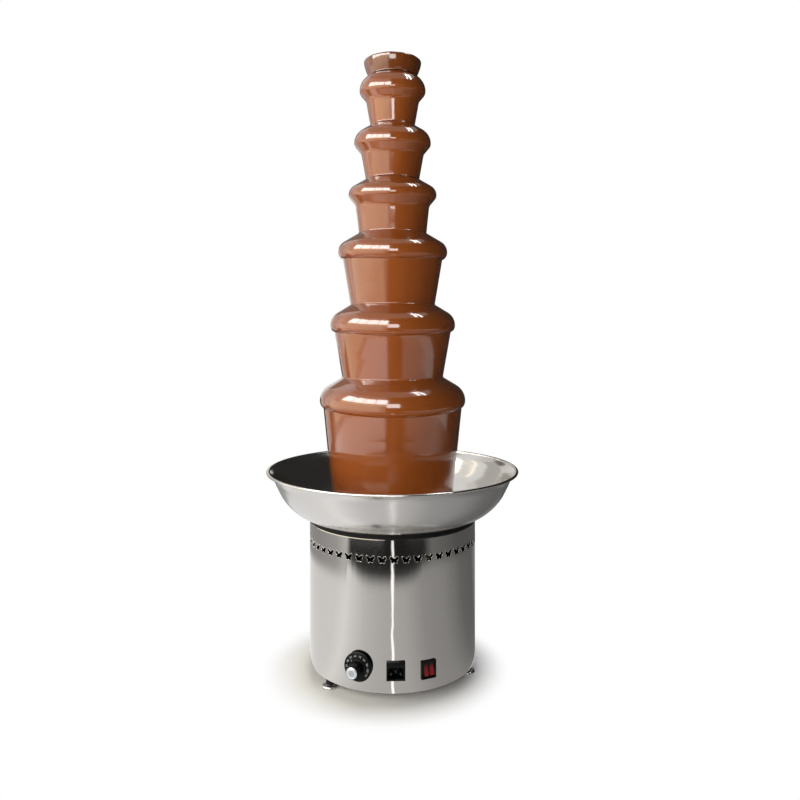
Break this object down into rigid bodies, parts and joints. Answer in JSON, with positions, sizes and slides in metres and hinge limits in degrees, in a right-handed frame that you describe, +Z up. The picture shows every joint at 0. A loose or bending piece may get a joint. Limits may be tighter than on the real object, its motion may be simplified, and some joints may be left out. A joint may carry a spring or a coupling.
{
  "type": "chocolate fountain",
  "caption": "Free-standing chocolate fountain: domed tiers on a column drop curtains of melted chocolate into a polished bowl on a vented drum base with a dial, inlet and switch.",
  "frame": {"origin": "on the floor under the middle of the column", "axes": "+Z up the column, -Y towards the face with the dial, inlet and switch"},
  "size_m": [0.4, 0.4, 0.9687],
  "materials": {
    "brushed_drum": "satin brushed",
    "polished_bowl": "mirror polished",
    "tower_steel": "polished",
    "milk_chocolate": "wet and glossy",
    "black_rubber": "matt",
    "black_plastic": "fine texture",
    "silver_cap": "satin",
    "red_rocker": "glossy, translucent look",
    "foot_chrome": "polished",
    "fastener_steel": "zinc bright",
    "bronze": "turned",
    "cast_aluminium": "as cast",
    "stack_iron": "laminated",
    "motor_paint": "satin paint",
    "bridge_steel": "plain sheet",
    "ivory_plastic": "moulded",
    "pin_nickel": "plated"
  },
  "bodies": {
    "fountain": {"base_shell": "brushed_drum", "bottom_plate": "brushed_drum", "bowl": "polished_bowl", "bowl_spigot": "tower_steel", "spigot_nut": "tower_steel", "column_tube": "tower_steel", "tier_stop_rings": "tower_steel", "tier_1": "tower_steel", "tier_2": "tower_steel", "tier_3": "tower_steel", "tier_4": "tower_steel", "tier_5": "tower_steel", "tier_6": "tower_steel", "crown": "tower_steel", "chocolate_crown": "milk_chocolate", "chocolate_tier_1": "milk_chocolate", "chocolate_tier_2": "milk_chocolate", "chocolate_tier_3": "milk_chocolate", "chocolate_tier_4": "milk_chocolate", "chocolate_tier_5": "milk_chocolate", "chocolate_tier_6": "milk_chocolate", "chocolate_pool": "milk_chocolate", "bowl_seal": "black_rubber", "shaft_seal": "black_rubber", "inlet_socket": "black_plastic", "switch_housing": "black_plastic", "thermostat_body": "black_plastic", "bottom_plate_screws": "fastener_steel", "foot_nuts": "fastener_steel", "bridge_screws": "fastener_steel", "idler_pin": "fastener_steel", "shaft_bush": "bronze", "gear_bushes": "bronze", "heater_plate": "cast_aluminium", "gearbox_housing": "cast_aluminium", "gearbox_cover": "cast_aluminium", "stator_core": "stack_iron", "motor_can": "motor_paint", "motor_end_cap": "motor_paint", "motor_bridge": "bridge_steel", "heating_element": "bridge_steel", "terminal_block": "ivory_plastic", "inlet_pins": "pin_nickel"},
    "auger": {"auger_core": "tower_steel", "auger_flight": "tower_steel", "drive_pin": "tower_steel", "drive_shaft": "fastener_steel", "output_gear": "bronze"},
    "idler": {"idler_gear": "bronze"},
    "rotor": {"rotor_shaft": "fastener_steel", "rotor_core": "stack_iron", "cooling_fan": "black_plastic"},
    "dial": {"dial_knob": "black_plastic", "dial_cap": "silver_cap", "thermostat_spindle": "fastener_steel"},
    "left_rocker": {"rocker_left": "red_rocker"},
    "right_rocker": {"rocker_right": "red_rocker"},
    "levelling_foot_1": {"foot_1": "foot_chrome"},
    "levelling_foot_2": {"foot_2": "foot_chrome"},
    "levelling_foot_3": {"foot_3": "foot_chrome"}
  },
  "joints": [
    {"name": "auger_spin", "type": "hinge", "parent": "fountain", "child": "auger", "pos_m": [0, 0, 0], "axis": [0, 0, 1], "continuous": true},
    {"name": "idler_spin", "type": "hinge", "parent": "fountain", "child": "idler", "pos_m": [0.03, 0, 0], "axis": [0, 0, 1], "continuous": true},
    {"name": "rotor_spin", "type": "hinge", "parent": "fountain", "child": "rotor", "pos_m": [0, 0, 0], "axis": [0, 0, 1], "continuous": true},
    {"name": "dial_turn", "type": "hinge", "parent": "fountain", "child": "dial", "pos_m": [-0.05264, -0.12105, 0.053], "axis": [0.3987, 0.9171, 0], "range_deg": [0, 270]},
    {"name": "left_rocker_tilt", "type": "hinge", "parent": "fountain", "child": "left_rocker", "pos_m": [0.04551, -0.11857, 0.047], "axis": [0.9336, 0.3584, 0], "range_deg": [0, 20]},
    {"name": "right_rocker_tilt", "type": "hinge", "parent": "fountain", "child": "right_rocker", "pos_m": [0.04551, -0.11857, 0.047], "axis": [0.9336, 0.3584, 0], "range_deg": [0, 20]},
    {"name": "foot_1_adjust", "type": "slide", "parent": "fountain", "child": "levelling_foot_1", "axis": [0, 0, -1], "range_m": [0, 0.008]},
    {"name": "foot_2_adjust", "type": "slide", "parent": "fountain", "child": "levelling_foot_2", "axis": [0, 0, -1], "range_m": [0, 0.008]},
    {"name": "foot_3_adjust", "type": "slide", "parent": "fountain", "child": "levelling_foot_3", "axis": [0, 0, -1], "range_m": [0, 0.008]}
  ],
  "couplings": [
    {"joint": "idler_spin", "follows": "auger_spin", "ratio": -4},
    {"joint": "rotor_spin", "follows": "auger_spin", "ratio": 16}
  ]
}
